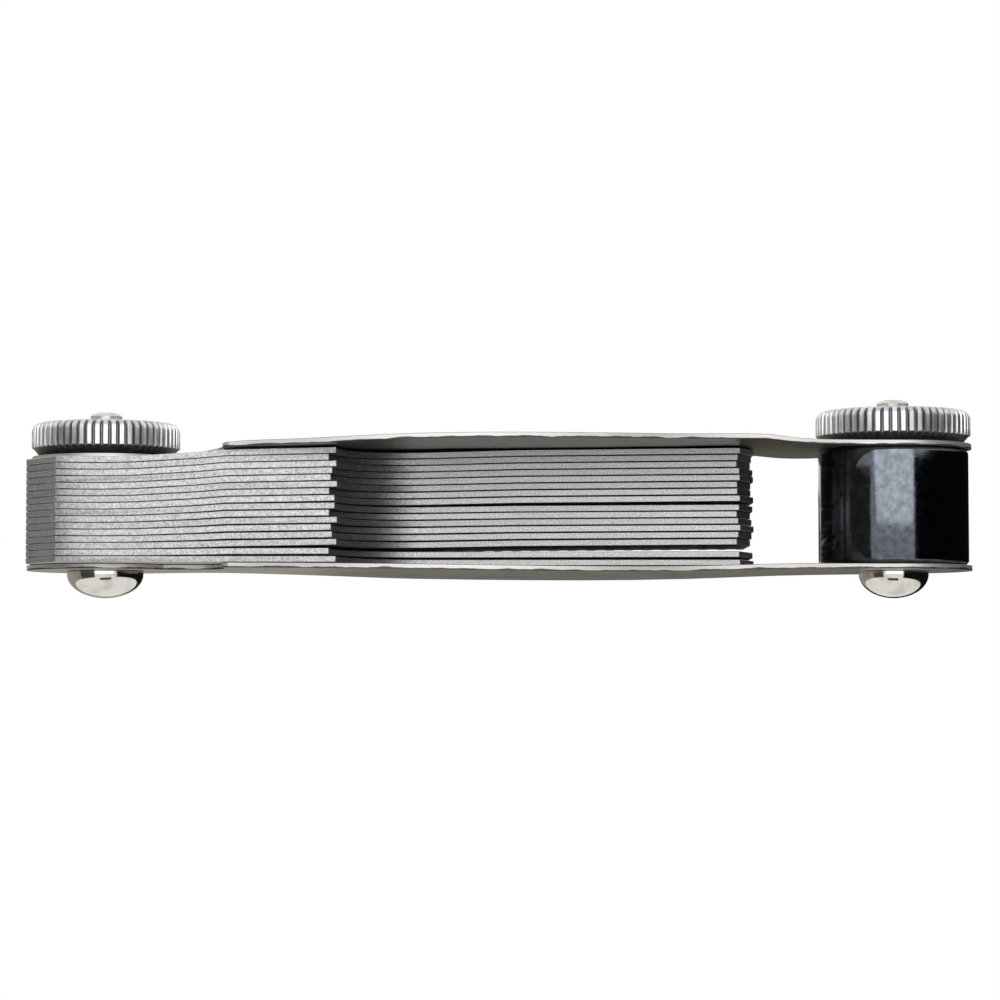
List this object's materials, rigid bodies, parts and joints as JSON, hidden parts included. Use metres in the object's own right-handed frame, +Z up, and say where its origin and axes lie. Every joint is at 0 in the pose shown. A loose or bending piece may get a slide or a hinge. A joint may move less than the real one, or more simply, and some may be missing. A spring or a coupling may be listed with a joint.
{
  "type": "thread pitch gauge",
  "caption": "Folding thread pitch gauge: a fan of toothed steel leaves on one pivot between two bowed sheet covers, with knurled nuts and a black spacer.",
  "frame": {"origin": "middle of the length and width of the covers, level with the lowest point of the screw heads", "axes": "+X from the pivot screw to the end screw, +Z up along the screws towards the nuts, -Y towards the leaves' plain thumb edges"},
  "size_m": [0.103, 0.032, 0.0216],
  "materials": {
    "cover_steel": "ground sheet with burnished sheared edges",
    "leaf_steel": "blasted spring steel, fine sandy grain",
    "screw_plate": "bright nickel plate",
    "nut_plate": "satin nickel plate, straight knurl",
    "spacer_black": "gloss black"
  },
  "bodies": {
    "frame": {"top_cover": "cover_steel", "bottom_cover": "cover_steel", "pivot_screw": "screw_plate", "end_screw": "screw_plate", "spacer": "spacer_black"},
    "leaf_01": {"leaf_01": "leaf_steel"},
    "leaf_02": {"leaf_02": "leaf_steel"},
    "leaf_03": {"leaf_03": "leaf_steel"},
    "leaf_04": {"leaf_04": "leaf_steel"},
    "leaf_05": {"leaf_05": "leaf_steel"},
    "leaf_06": {"leaf_06": "leaf_steel"},
    "leaf_07": {"leaf_07": "leaf_steel"},
    "leaf_08": {"leaf_08": "leaf_steel"},
    "leaf_09": {"leaf_09": "leaf_steel"},
    "leaf_10": {"leaf_10": "leaf_steel"},
    "leaf_11": {"leaf_11": "leaf_steel"},
    "leaf_12": {"leaf_12": "leaf_steel"},
    "leaf_13": {"leaf_13": "leaf_steel"},
    "leaf_14": {"leaf_14": "leaf_steel"},
    "leaf_15": {"leaf_15": "leaf_steel"},
    "leaf_16": {"leaf_16": "leaf_steel"},
    "pivot_nut": {"pivot_nut": "nut_plate"},
    "end_nut": {"end_nut": "nut_plate"}
  },
  "joints": [
    {"name": "leaf_01_swing", "type": "hinge", "parent": "frame", "child": "leaf_01", "pos_m": [-0.043, 0, 0.009], "axis": [0, 0, 1], "continuous": true},
    {"name": "leaf_02_swing", "type": "hinge", "parent": "frame", "child": "leaf_02", "pos_m": [-0.043, 0, 0.009], "axis": [0, 0, 1], "continuous": true},
    {"name": "leaf_03_swing", "type": "hinge", "parent": "frame", "child": "leaf_03", "pos_m": [-0.043, 0, 0.009], "axis": [0, 0, 1], "continuous": true},
    {"name": "leaf_04_swing", "type": "hinge", "parent": "frame", "child": "leaf_04", "pos_m": [-0.043, 0, 0.009], "axis": [0, 0, 1], "continuous": true},
    {"name": "leaf_05_swing", "type": "hinge", "parent": "frame", "child": "leaf_05", "pos_m": [-0.043, 0, 0.009], "axis": [0, 0, 1], "continuous": true},
    {"name": "leaf_06_swing", "type": "hinge", "parent": "frame", "child": "leaf_06", "pos_m": [-0.043, 0, 0.009], "axis": [0, 0, 1], "continuous": true},
    {"name": "leaf_07_swing", "type": "hinge", "parent": "frame", "child": "leaf_07", "pos_m": [-0.043, 0, 0.009], "axis": [0, 0, 1], "continuous": true},
    {"name": "leaf_08_swing", "type": "hinge", "parent": "frame", "child": "leaf_08", "pos_m": [-0.043, 0, 0.009], "axis": [0, 0, 1], "continuous": true},
    {"name": "leaf_09_swing", "type": "hinge", "parent": "frame", "child": "leaf_09", "pos_m": [-0.043, 0, 0.009], "axis": [0, 0, 1], "continuous": true},
    {"name": "leaf_10_swing", "type": "hinge", "parent": "frame", "child": "leaf_10", "pos_m": [-0.043, 0, 0.009], "axis": [0, 0, 1], "continuous": true},
    {"name": "leaf_11_swing", "type": "hinge", "parent": "frame", "child": "leaf_11", "pos_m": [-0.043, 0, 0.009], "axis": [0, 0, 1], "continuous": true},
    {"name": "leaf_12_swing", "type": "hinge", "parent": "frame", "child": "leaf_12", "pos_m": [-0.043, 0, 0.009], "axis": [0, 0, 1], "continuous": true},
    {"name": "leaf_13_swing", "type": "hinge", "parent": "frame", "child": "leaf_13", "pos_m": [-0.043, 0, 0.009], "axis": [0, 0, 1], "continuous": true},
    {"name": "leaf_14_swing", "type": "hinge", "parent": "frame", "child": "leaf_14", "pos_m": [-0.043, 0, 0.009], "axis": [0, 0, 1], "continuous": true},
    {"name": "leaf_15_swing", "type": "hinge", "parent": "frame", "child": "leaf_15", "pos_m": [-0.043, 0, 0.009], "axis": [0, 0, 1], "continuous": true},
    {"name": "leaf_16_swing", "type": "hinge", "parent": "frame", "child": "leaf_16", "pos_m": [-0.043, 0, 0.009], "axis": [0, 0, 1], "continuous": true},
    {"name": "pivot_nut_turn", "type": "hinge", "parent": "frame", "child": "pivot_nut", "pos_m": [-0.043, 0, 0.0172], "axis": [0, 0, 1], "continuous": true},
    {"name": "end_nut_turn", "type": "hinge", "parent": "frame", "child": "end_nut", "pos_m": [0.043, 0, 0.0185], "axis": [0, 0, 1], "continuous": true}
  ]
}
